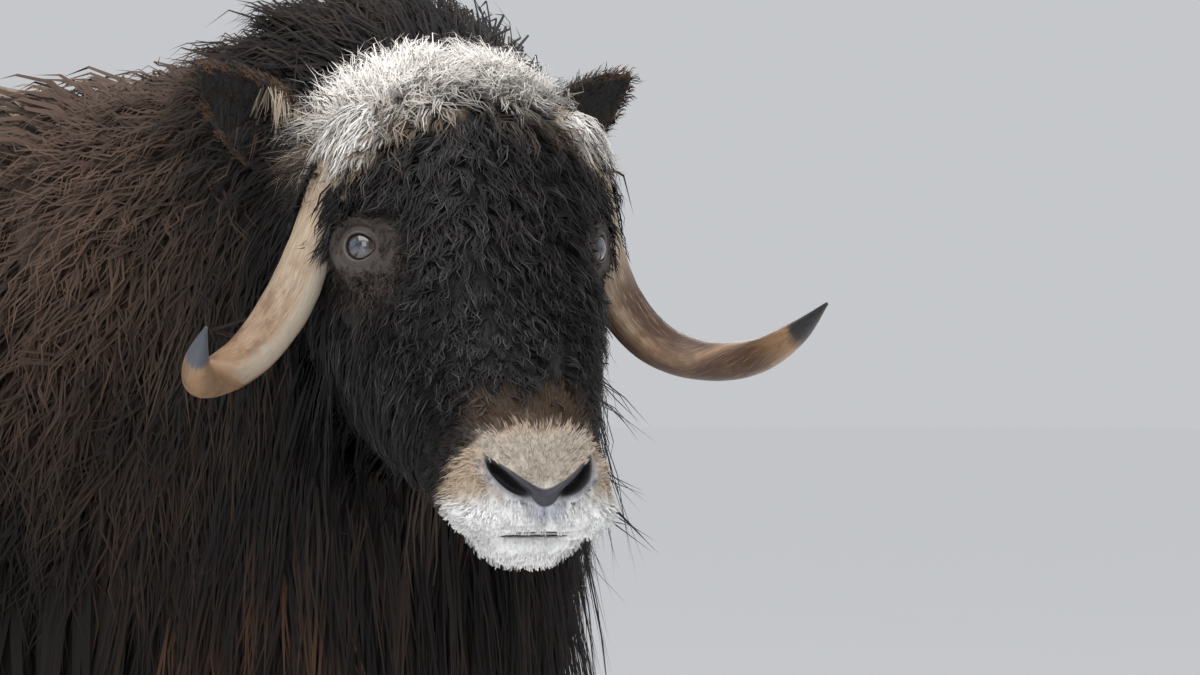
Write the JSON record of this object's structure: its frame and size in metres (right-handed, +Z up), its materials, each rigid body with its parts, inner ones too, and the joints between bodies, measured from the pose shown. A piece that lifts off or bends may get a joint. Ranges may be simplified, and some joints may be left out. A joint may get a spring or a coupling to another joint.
{
  "type": "muskox",
  "caption": "Standing muskox with its head turned, long hanging coat, shoulder hump, woolly brow and drooping hooked horns.",
  "frame": {"origin": "on the floor, under the middle of the whole animal's box", "axes": "+Z up, +Y from head to tail, +X to the animal's left side"},
  "size_m": [0.804, 1.9562, 1.2344],
  "materials": {
    "head_coat": "black curly hair with a cream woolly cap",
    "mane": "long black-brown guard hair",
    "body_coat": "woolly dark brown coat with a pale saddle",
    "skirt": "long hanging dark brown guard hair",
    "leg_coat": "short cream hair",
    "ear_coat": "short brown hair",
    "horn": "ridged tan keratin with dark tips",
    "hoof": "dark worn keratin",
    "eye": "wet dark brown"
  },
  "bodies": {
    "root": {"ear_left": "ear_coat", "ear_right": "ear_coat", "eye_left": "eye", "eye_right": "eye", "head": "head_coat", "hoof_fore_left_inner": "hoof", "hoof_fore_left_outer": "hoof", "hoof_fore_right_inner": "hoof", "hoof_fore_right_outer": "hoof", "hoof_hind_left_inner": "hoof", "hoof_hind_left_outer": "hoof", "hoof_hind_right_inner": "hoof", "hoof_hind_right_outer": "hoof", "horn_left": "horn", "horn_right": "horn", "leg_fore_left": "leg_coat", "leg_fore_right": "leg_coat", "leg_hind_left": "leg_coat", "leg_hind_right": "leg_coat", "neck": "mane", "skirt_left": "skirt", "skirt_rear_left": "skirt", "skirt_rear_right": "skirt", "skirt_right": "skirt", "tail": "skirt", "torso": "body_coat"}
  },
  "joints": []
}
